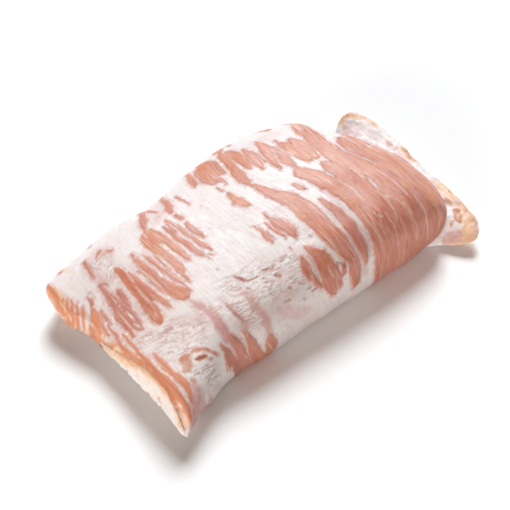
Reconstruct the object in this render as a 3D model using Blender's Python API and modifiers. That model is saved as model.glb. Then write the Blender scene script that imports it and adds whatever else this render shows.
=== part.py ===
# Pork cheek: a raw, skinless slab of pig's cheek that lies on its fat side.
# The marbled lean is a domed sheet that folds down over the front, the back and the right end.
# The fat under it shows at the cut left end and sticks out as a flap at the right end.
# +X runs along the slab to the flap, +Y to the back and +Z up. Sizes are in millimetres.

import bpy
import bmesh
from math import cos, exp, pi, radians, sqrt, tan
from mathutils import Vector

MM = 0.001
OBJECT = "pork_cheek"
GAP = 0.3               # kept between the lean and the fat where they touch
LIP = 1.2               # the lean's folded edges end this far above the fat's underside
CUT_LIP = 1.5           # and this much further at the cut face

# A rail gives a size along the slab, as (x, size) pairs that a smooth curve passes through.
LEAN_FRONT = (
    (-106, -64), (-92, -60.5), (-76, -54.5), (-61, -48.5), (-38, -49.5),
    (-10, -47.5), (60, -47), (76, -46), (97, -44),
)
LEAN_BACK = (
    (-106, 51), (-92, 56), (-78, 57), (-60, 60), (-42, 57), (-27, 58),
    (-8, 63), (18, 66), (45, 62), (66, 56), (97, 27),
)
LEAN_TOP = ((-106, 29), (-92, 33), (-70, 39), (-30, 44), (20, 48), (60, 46), (90, 40), (103, 36))
UNDERSIDE = ((-106, 9), (-96, 6.5), (-84, 2), (-68, 0), (74, 0), (88, 2), (98, 6), (110, 9))
FAT_FRONT = (
    (-106, -61), (-92, -56), (-74, -46), (-60, -41), (60, -40),
    (76, -40), (87, -50), (98, -60), (108, -50),
)
FAT_BACK = (
    (-106, 40), (-78, 43), (-52, 49), (-15, 54), (18, 58), (50, 54),
    (76, 44), (88, 49), (97, 54), (108, 52),
)
FAT_DEPTH = ((-106, 16.5), (-60, 13), (60, 14), (84, 12), (96, 8), (110, 5))
# The flap's free edge, as (y, x) pairs.
FAT_RIGHT = ((-62, 100), (-50, 105), (-36, 108), (5, 109.5), (20, 112), (42, 111), (54, 104))

LEFT_END = -104.3       # the cut face at its lower edge
RIGHT_END = 97.5        # the lean's rolled end where it stands furthest out
FLAP_END = 108

CUT_FOOT = 9            # height of the cut face's lower edge
CUT_LEAN_BACK = 16      # degrees that the cut face leans back
CUT_FLARE = 4.5         # the back half of the cut face stands out this much more
CUT_FLARE_Y = (5, 40)   # and does so between these places
CUT_BLEND = 40          # length over which the cut face's shape fades out along the slab
TWIST_DROP = 10         # the cut end's top sinks this much behind its front corner
TWIST_Y = (-50, 0)
TWIST_BLEND = 26

# A pull draws a corner out: its middle, how far it reaches, and how much it moves.
FRONT_TIP = ((-104, -62, 8), 9, (-1, -6, -4))
BACK_TIP = ((-108, 48, 18), 12, (0, 0, 5))
BACK_FINGER = ((-109, 36, 9), 9, (-4, -4, -2))
FLAP_TIP = ((101, -60, 10), 9, (7, -9, 1))
FLAP_EAR = ((104, 50, 12), 10, (1, 6, 4))

TOP_ROUND = 0.80        # 0 is a square shoulder, 1 a round one
FOOT_ROUND = 0.05
ROLL_ROUND = 0.90
END_ROLL = 26           # how far the lean's right end rolls in at its top
END_ROLL_FOOT = 10
END_SINK = 0.12         # part of its height that the lean loses at that end
END_SLANT = 6           # the back part of the lean's right end draws in by this much
END_SLANT_Y = (-10, 30)
END_CORNER = 7          # and its two corners by this much

FAT_EDGE = 0.72         # part of its depth that the fat loses at its long edges
FAT_CUT_THIN = 0.80     # part of its depth that the fat loses along the cut face
FAT_CUT_THIN_Y = (-45, 18)
FAT_RECEDE = 16         # the fat's back corner stays this far inside the cut face
FAT_RECEDE_Y = (6, 40)

LEAN_CELLS = (20, 11, 4)
FAT_CELLS = (17, 10, 2)
END_CROWDING = 0.35     # how much closer the cage's loops stand near its ends
CUT_CREASE = 0.7        # keeps the cut face's rim crisp

LEAN_LOOK = {"colour": (0.68, 0.33, 0.26, 1), "roughness": 0.45}
FAT_LOOK = {"colour": (0.88, 0.80, 0.78, 1), "roughness": 0.5}


def along(rail, at):
    # Catmull-Rom curve through the rail's points
    if at <= rail[0][0]:
        return rail[0][1]
    if at >= rail[-1][0]:
        return rail[-1][1]
    last = len(rail) - 1
    i = max(k for k in range(last) if rail[k][0] <= at)
    before, start, end, after = (rail[min(max(k, 0), last)] for k in range(i - 1, i + 3))
    span = end[0] - start[0]
    t = (at - start[0]) / span
    slope_in = (end[1] - before[1]) / (end[0] - before[0]) * span
    slope_out = (after[1] - start[1]) / (after[0] - start[0]) * span
    from_start = start[1] * (2 * t**3 - 3 * t**2 + 1) + slope_in * (t**3 - 2 * t**2 + t)
    from_end = end[1] * (3 * t**2 - 2 * t**3) + slope_out * (t**3 - t**2)
    return from_start + from_end


def smooth(start, end, at):
    # rises from 0 at start to 1 at end
    t = min(max((at - start) / (end - start), 0), 1)
    return t * t * (3 - 2 * t)


def mix(a, b, t):
    return a + (b - a) * t


def rounded(a, b, k):
    # draws the corner of the square (a, b) in towards a disc
    return a * sqrt(1 - k * b * b / 2), b * sqrt(1 - k * a * a / 2)


def pulled(point, *pulls):
    moved = point.copy()
    for middle, reach, shift in pulls:
        moved += Vector(shift) * exp(-(((point - Vector(middle)).length / reach) ** 2))
    return moved


def foot_height(x):
    # the flat rest of the underside is at zero
    return max(along(UNDERSIDE, x), 0)


def cut_weight(x):
    return 1 - smooth(LEFT_END, LEFT_END + CUT_BLEND, x)


def cut_shift(y, z):
    # how far the leaning, flared cut face is from an upright one
    lean_back = (z - CUT_FOOT) * tan(radians(CUT_LEAN_BACK))
    return lean_back - CUT_FLARE * smooth(*CUT_FLARE_Y, y)


def lean_point(u, v, w):
    # u runs along the slab, v across it and w up, each from -1 to 1
    end = max(u, 0) ** 3
    roll = END_ROLL if w > 0 else END_ROLL_FOOT
    x = mix(LEFT_END, RIGHT_END, (u + 1) / 2) - roll * end * (1 - sqrt(1 - ROLL_ROUND * w * w))
    side, up = rounded(v, w, TOP_ROUND if w > 0 else FOOT_ROUND)
    y = mix(along(LEAN_FRONT, x), along(LEAN_BACK, x), (side + 1) / 2)
    x -= end * (END_SLANT * smooth(*END_SLANT_Y, y) + END_CORNER * v**4)
    foot = foot_height(x) + LIP + CUT_LIP * cut_weight(x)
    twist = smooth(*TWIST_Y, y) * (1 - smooth(LEFT_END, LEFT_END + TWIST_BLEND, x))
    top = along(LEAN_TOP, x) - TWIST_DROP * twist
    z = mix(foot, top, (up * (1 - END_SINK * end) + 1) / 2)
    x += cut_shift(y, z) * cut_weight(x)
    return pulled(Vector((x, y, z)), FRONT_TIP, BACK_TIP, BACK_FINGER)


def fat_point(u, v, w):
    x = mix(LEFT_END, FLAP_END, (u + 1) / 2)
    y = mix(along(FAT_FRONT, x), along(FAT_BACK, x), (v + 1) / 2)
    thinning = FAT_CUT_THIN * cut_weight(x) * smooth(*FAT_CUT_THIN_Y, y)
    depth = along(FAT_DEPTH, x) * (1 - thinning) * (1 - FAT_EDGE * v**6)
    z = foot_height(x) + depth * (w + 1) / 2
    x += (cut_shift(y, z) + FAT_RECEDE * smooth(*FAT_RECEDE_Y, y)) * cut_weight(x)
    x += (along(FAT_RIGHT, y) - FLAP_END) * max(u, 0) ** 4
    return pulled(Vector((x, y, z)), FRONT_TIP, FLAP_TIP, FLAP_EAR)


def slice_cube(bm, cells):
    # planes slice a cube into cells, whose loops crowd towards its ends
    bmesh.ops.create_cube(bm, size=2)
    for axis, count in enumerate(cells):
        normal = Vector([float(axis == k) for k in range(3)])
        for k in range(1, count):
            even = 2 * k / count - 1
            place = mix(even, -cos(pi * k / count), END_CROWDING)
            whole = bm.verts[:] + bm.edges[:] + bm.faces[:]
            bmesh.ops.bisect_plane(bm, geom=whole, plane_co=normal * place, plane_no=normal)


def crease_cut_rim(bm):
    crease = bm.edges.layers.float.new("crease_edge")
    for edge in bm.edges:
        on_cut = [face.normal.x < -0.5 for face in edge.link_faces]
        edge[crease] = CUT_CREASE if sum(on_cut) == 1 else 0


def cage(name, cells, shape):
    bm = bmesh.new()
    slice_cube(bm, cells)
    bm.normal_update()
    crease_cut_rim(bm)
    for vert in bm.verts:
        vert.co = shape(*vert.co) * MM
    bmesh.ops.recalc_face_normals(bm, faces=bm.faces)
    mesh = bpy.data.meshes.new(name)
    bm.to_mesh(mesh)
    bm.free()
    mesh.shade_smooth()
    return mesh


def add_piece(name, mesh, collection, parent):
    piece = bpy.data.objects.new(name, mesh)
    collection.objects.link(piece)
    piece.parent = parent
    soften = piece.modifiers.new("soften", "SUBSURF")
    soften.levels = 1
    soften.render_levels = 1
    return piece


def add_fat_bed(fat_mesh, collection, parent):
    # the fat with the gap round it, which hollows the lean
    bed = add_piece("fat_bed", fat_mesh, collection, parent)
    grow = bed.modifiers.new("gap", "DISPLACE")
    grow.mid_level = 0
    grow.strength = GAP * MM
    bed.hide_render = True
    bed.display_type = "WIRE"
    return bed


def hollow_out(piece, bed):
    hollow = piece.modifiers.new("fat_bed", "BOOLEAN")
    hollow.operation = "DIFFERENCE"
    hollow.solver = "EXACT"
    hollow.object = bed


def set_material(mesh, name, look):
    made = bpy.data.materials.new(name)
    made.use_nodes = True
    shader = made.node_tree.nodes["Principled BSDF"]
    shader.inputs["Base Color"].default_value = look["colour"]
    shader.inputs["Roughness"].default_value = look["roughness"]
    shader.inputs["Metallic"].default_value = 0
    mesh.materials.append(made)


def stand_on_origin(parent, pieces):
    # the origin is the middle of the underside's box
    bpy.context.view_layer.update()
    graph = bpy.context.evaluated_depsgraph_get()
    points = [vert.co.copy() for piece in pieces for vert in piece.evaluated_get(graph).data.vertices]
    low = Vector([min(p[k] for p in points) for k in range(3)])
    high = Vector([max(p[k] for p in points) for k in range(3)])
    parent.location = (-(low.x + high.x) / 2, -(low.y + high.y) / 2, -low.z)


def add_collection(name):
    made = bpy.data.collections.new(name)
    bpy.context.scene.collection.children.link(made)
    return made


def main():
    for old in list(bpy.data.objects):
        bpy.data.objects.remove(old)
    parts = add_collection(OBJECT)
    cutters = add_collection("cutters")
    root = bpy.data.objects.new(OBJECT, None)
    parts.objects.link(root)

    fat_mesh = cage("fat_layer", FAT_CELLS, fat_point)
    lean_mesh = cage("lean", LEAN_CELLS, lean_point)
    set_material(fat_mesh, "fat", FAT_LOOK)
    set_material(lean_mesh, "lean", LEAN_LOOK)
    fat = add_piece("fat_layer", fat_mesh, parts, root)
    lean = add_piece("lean", lean_mesh, parts, root)
    hollow_out(lean, add_fat_bed(fat_mesh, cutters, root))
    stand_on_origin(root, (lean, fat))


main()
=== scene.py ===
# Raw pork cheek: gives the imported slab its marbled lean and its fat
import bpy
import numpy as np
from math import cos, radians, sin
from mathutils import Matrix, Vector, noise


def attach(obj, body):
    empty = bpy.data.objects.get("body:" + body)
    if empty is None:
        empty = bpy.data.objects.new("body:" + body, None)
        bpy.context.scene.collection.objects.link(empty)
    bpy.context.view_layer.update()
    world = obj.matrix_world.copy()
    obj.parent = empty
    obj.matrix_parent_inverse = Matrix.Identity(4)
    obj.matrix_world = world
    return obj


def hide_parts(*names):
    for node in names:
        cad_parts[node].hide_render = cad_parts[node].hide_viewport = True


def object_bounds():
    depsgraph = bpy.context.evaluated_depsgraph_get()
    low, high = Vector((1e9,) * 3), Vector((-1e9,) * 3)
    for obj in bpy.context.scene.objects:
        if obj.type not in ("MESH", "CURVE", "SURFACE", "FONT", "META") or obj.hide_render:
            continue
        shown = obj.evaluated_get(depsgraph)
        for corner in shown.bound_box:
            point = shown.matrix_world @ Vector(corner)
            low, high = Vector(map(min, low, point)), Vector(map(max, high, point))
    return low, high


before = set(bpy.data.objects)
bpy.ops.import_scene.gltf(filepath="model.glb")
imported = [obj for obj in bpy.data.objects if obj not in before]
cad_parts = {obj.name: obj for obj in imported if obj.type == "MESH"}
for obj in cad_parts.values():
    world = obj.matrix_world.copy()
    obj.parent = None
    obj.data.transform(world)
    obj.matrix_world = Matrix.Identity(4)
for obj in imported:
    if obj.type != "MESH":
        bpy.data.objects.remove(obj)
cadLow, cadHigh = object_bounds()
bpy.ops.object.select_all(action="DESELECT")
mm = 0.001
print("frame loaded, box", [round(v, 4) for v in (*cadLow, *cadHigh)])

view = {
    "azimuth": -39, "elevation": 48,       # degrees
    "lens": 138.99, "sensor": 36,          # mm
    "distance": 1.033, "clipEnd": 20,      # metres
    "aim": (-0.00913, 0.00011, 0.01878),   # metres
}


def addCamera():
    az, el = radians(view["azimuth"]), radians(view["elevation"])
    back = Vector((sin(az) * cos(el), -cos(az) * cos(el), sin(el)))
    bpy.ops.object.camera_add(location=Vector(view["aim"]) + back * view["distance"])
    camera = bpy.context.object
    camera.rotation_euler = back.to_track_quat("Z", "Y").to_euler()
    camera.data.lens = view["lens"]
    camera.data.sensor_width = view["sensor"]
    camera.data.clip_end = view["clipEnd"]
    bpy.context.scene.camera = camera


# the lamps' angles are in degrees, and azimuth runs from +X towards +Y
light = {
    "key": {"azimuth": 46, "elevation": 43, "spread": 26, "power": 3.86, "colour": (0.90, 0.965, 1.0)},
    "fill": {"azimuth": 202, "elevation": 9, "spread": 34, "power": 2.5, "colour": (1.0, 0.92, 0.86)},
    "sky": 0.2, "skyColour": (1.0, 0.77, 0.68),
    "backdrop": (1.0, 1.0, 1.0),           # what the camera sees past the floor
}


def addLamp(name):
    lampSet = light[name]
    az, el = radians(lampSet["azimuth"]), radians(lampSet["elevation"])
    way = Vector((cos(az) * cos(el), sin(az) * cos(el), sin(el)))
    bpy.ops.object.light_add(type="SUN", location=way)
    lamp = bpy.context.object
    lamp.name = name + " softbox"
    lamp.rotation_euler = way.to_track_quat("Z", "Y").to_euler()
    lamp.data.angle = radians(lampSet["spread"])
    lamp.data.energy = lampSet["power"]
    lamp.data.color = lampSet["colour"]


def addLight():
    addLamp("key")
    addLamp("fill")
    world = bpy.data.worlds.new("studio")
    bpy.context.scene.world = world
    world.use_nodes = True
    nodes, links = world.node_tree.nodes, world.node_tree.links
    sky = nodes["Background"]
    sky.inputs["Color"].default_value = (*light["skyColour"], 1)
    sky.inputs["Strength"].default_value = light["sky"]
    backdrop = nodes.new("ShaderNodeBackground")
    backdrop.inputs["Color"].default_value = (*light["backdrop"], 1)
    choose = nodes.new("ShaderNodeMixShader")
    links.new(nodes.new("ShaderNodeLightPath").outputs["Is Camera Ray"], choose.inputs[0])
    links.new(sky.outputs[0], choose.inputs[1])
    links.new(backdrop.outputs[0], choose.inputs[2])
    links.new(choose.outputs[0], nodes["World Output"].inputs["Surface"])
    bpy.context.scene.view_settings.view_transform = "Standard"


floorPaper = {"size": 40, "colour": (0.99, 0.99, 0.99), "roughness": 0.9, "specular": 0.1}


def addFloor():
    bpy.ops.mesh.primitive_plane_add(size=floorPaper["size"], location=(0, 0, 0))
    floor = bpy.context.object
    floor.name = "floor"
    paper = bpy.data.materials.new("floor paper")
    paper.use_nodes = True
    shader = paper.node_tree.nodes["Principled BSDF"]
    shader.inputs["Base Color"].default_value = (*floorPaper["colour"], 1)
    shader.inputs["Roughness"].default_value = floorPaper["roughness"]
    shader.inputs["Specular IOR Level"].default_value = floorPaper["specular"]
    floor.data.materials.append(paper)


addCamera()
addLight()
addFloor()
print("camera, light and floor done")

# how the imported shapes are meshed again
meshing = {"merge": 0.01 * mm, "quadAngle": radians(60), "smooth": 0.5}


def pickOnly(piece):
    bpy.ops.object.select_all(action="DESELECT")
    piece.select_set(True)
    bpy.context.view_layer.objects.active = piece


def addStep(piece, kind, **settings):
    # adds a modifier and applies it
    pickOnly(piece)
    step = piece.modifiers.new(kind.lower(), kind)
    for name, value in settings.items():
        setattr(step, name, value)
    bpy.ops.object.modifier_apply(modifier=step.name)


def fineCopy(node, name, voxel, passes):
    # a fine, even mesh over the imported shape
    piece = bpy.data.objects.new(name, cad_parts[node].data.copy())
    bpy.context.scene.collection.objects.link(piece)
    piece.data.materials.clear()
    pickOnly(piece)
    bpy.ops.object.mode_set(mode="EDIT")
    bpy.ops.mesh.select_all(action="SELECT")
    bpy.ops.mesh.remove_doubles(threshold=meshing["merge"])
    angle = meshing["quadAngle"]
    bpy.ops.mesh.tris_convert_to_quads(face_threshold=angle, shape_threshold=angle)
    bpy.ops.object.mode_set(mode="OBJECT")
    addStep(piece, "SUBSURF", levels=1, render_levels=1)
    addStep(piece, "REMESH", mode="VOXEL", voxel_size=voxel, use_smooth_shade=True)
    addStep(piece, "SMOOTH", factor=meshing["smooth"], iterations=passes)
    print(name, "fine mesh,", len(piece.data.polygons), "faces")
    return piece


def readVectors(source, name):
    flat = np.empty(len(source) * 3, np.float32)
    source.foreach_get(name, flat)
    return flat.reshape(-1, 3).astype(float)


def readShape(piece):
    # the vertices in mm, and their normals
    return readVectors(piece.data.vertices, "co") / mm, readVectors(piece.data.vertex_normals, "vector")


def writePoints(piece, points):
    # back into the mesh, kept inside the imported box
    points = np.clip(points, np.array(cadLow) / mm, np.array(cadHigh) / mm)
    piece.data.vertices.foreach_set("co", (points * mm).astype(np.float32).ravel())
    piece.data.update()


def writeValue(piece, name, values):
    attribute = piece.data.attributes.new(name, "FLOAT", "POINT")
    attribute.data.foreach_set("value", values.astype(np.float32))


def writeMap(piece, name, across, down):
    # a UV map in centimetres
    corners = np.empty(len(piece.data.loops), np.int32)
    piece.data.loops.foreach_get("vertex_index", corners)
    layer = piece.data.uv_layers.new(name=name)
    both = np.stack([across[corners], down[corners]], 1) / 10
    layer.data.foreach_set("uv", both.astype(np.float32).ravel())


def lumps(points, size, seed):
    # soft noise from about -1 to 1, with lumps of a size in mm
    shift = Vector((seed, 2 * seed, 3 * seed))
    return np.array([noise.noise(Vector(p) / size + shift) for p in points]) * 2


def smoothStep(low, high, value):
    k = np.clip((value - low) / (high - low), 0, 1)
    return k * k * (3 - 2 * k)


# the ragged left ends
ragged = {
    "rows": 2,                             # rows to a mm
    "nowhere": 1e3,                        # mm, further than any point
    "fineSize": 1.25, "coarseSize": 3.3,   # mm
    "fine": 2.2, "coarse": 1.6, "shift": 0.2,
}


def notchEnd(points, amount, reach, steep):
    # a ragged left end: it moves in by uneven amounts from row to row, less where it is higher up
    row = np.round(points[:, 1] * ragged["rows"]).astype(int)
    row -= row.min()
    left = np.full(row.max() + 1, ragged["nowhere"])
    low = left.copy()
    np.minimum.at(left, row, points[:, 0])
    far = points[:, 0] - left[row]
    near = far < reach
    np.minimum.at(low, row[near], points[near, 2])
    far = np.hypot(far, np.maximum(points[:, 2] - low[row], 0) * steep)
    line = points * (0, 1, 0)
    fine, coarse = lumps(line, ragged["fineSize"], seed=1.7), lumps(line, ragged["coarseSize"], seed=5.9)
    uneven = np.clip(ragged["fine"] * fine + ragged["coarse"] * coarse + ragged["shift"], 0, 1)
    points[:, 0] += amount * uneven * (1 - smoothStep(0, reach, far))


def thinOut(piece, chosen, ratio):
    # fewer faces where the vertices are chosen
    pickOnly(piece)
    bpy.ops.object.mode_set(mode="EDIT")
    bpy.ops.mesh.select_all(action="DESELECT")
    bpy.ops.mesh.select_mode(type="VERT")
    bpy.ops.object.mode_set(mode="OBJECT")
    piece.data.vertices.foreach_set("select", chosen)
    bpy.ops.object.mode_set(mode="EDIT")
    bpy.ops.mesh.decimate(ratio=ratio)
    bpy.ops.mesh.select_all(action="DESELECT")
    bpy.ops.object.mode_set(mode="OBJECT")


# A mark is a curve of (along, girth, width) in mm. Along is x, and girth is the way over the slab
# from front to back: it is y on top, and it runs on down the front and the back.
slab = {
    "ridgeY": 8, "ridgeHalf": 15, "topZ": 48,    # mm, where girth turns from the front to the back
    "endTurn": (0.15, 0.95),                     # normals' x where the top turns down into the right end
}
brush = {
    "steps": 4,            # stretches between two of a mark's points
    "thinnest": 0.2,       # mm
    "outside": -9.0,       # mm, the depth far from a mark
    "cap": 2.5,            # mm, the greatest depth that counts in and out of the lean
    "reach": 4,            # mm around a lean mark in which depths are worked out
}


def girthPlace(points):
    side = np.tanh((points[:, 1] - slab["ridgeY"]) / slab["ridgeHalf"])
    return points[:, 1] + side * (slab["topZ"] - points[:, 2])


def alongPlace(points, normals):
    # runs on down the right end
    return points[:, 0] + smoothStep(*slab["endTurn"], normals[:, 0]) * (slab["topZ"] - points[:, 2])


def bent(mark):
    # a smooth curve through the mark's points
    p = np.array(mark, float)
    made = []
    for i in range(len(p) - 1):
        a, b, c, d = p[max(i - 1, 0)], p[i], p[i + 1], p[min(i + 2, len(p) - 1)]
        for s in np.arange(brush["steps"]) / brush["steps"]:
            made.append(b + (c - a) * s / 2 + (2 * a - 5 * b + 4 * c - d) * s**2 / 2
                        + (3 * b - a - 3 * c + d) * s**3 / 2)
    made.append(p[-1])
    made = np.array(made)
    made[:, 2] = np.maximum(made[:, 2], brush["thinnest"])
    return made


def depthIn(along, girth, mark, reach):
    # mm inside the mark, negative outside it
    p = bent(mark)
    depth = np.full(len(along), brush["outside"])
    low = (p[:, :2] - p[:, 2:] / 2).min(0) - reach
    high = (p[:, :2] + p[:, 2:] / 2).max(0) + reach
    near = (along > low[0]) & (along < high[0]) & (girth > low[1]) & (girth < high[1])
    a, g, best = along[near], girth[near], depth[near]
    for (fromA, fromG, fromWidth), (toA, toG, toWidth) in zip(p[:-1], p[1:]):
        da, dg = toA - fromA, toG - fromG
        k = np.clip(((a - fromA) * da + (g - fromG) * dg) / (da * da + dg * dg + 1e-9), 0, 1)
        half = (fromWidth + (toWidth - fromWidth) * k) / 2
        best = np.maximum(best, half - np.hypot(a - fromA - k * da, g - fromG - k * dg))
    depth[near] = best
    return depth


def brushed(along, girth, marks, soft):
    # marks with a strength and a soft edge
    value = np.zeros(len(along))
    for strength, mark in marks:
        depth = depthIn(along, girth, mark, soft + 1)
        value = np.maximum(value, strength * smoothStep(-soft, soft, depth))
    return value


marbling = {}

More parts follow.
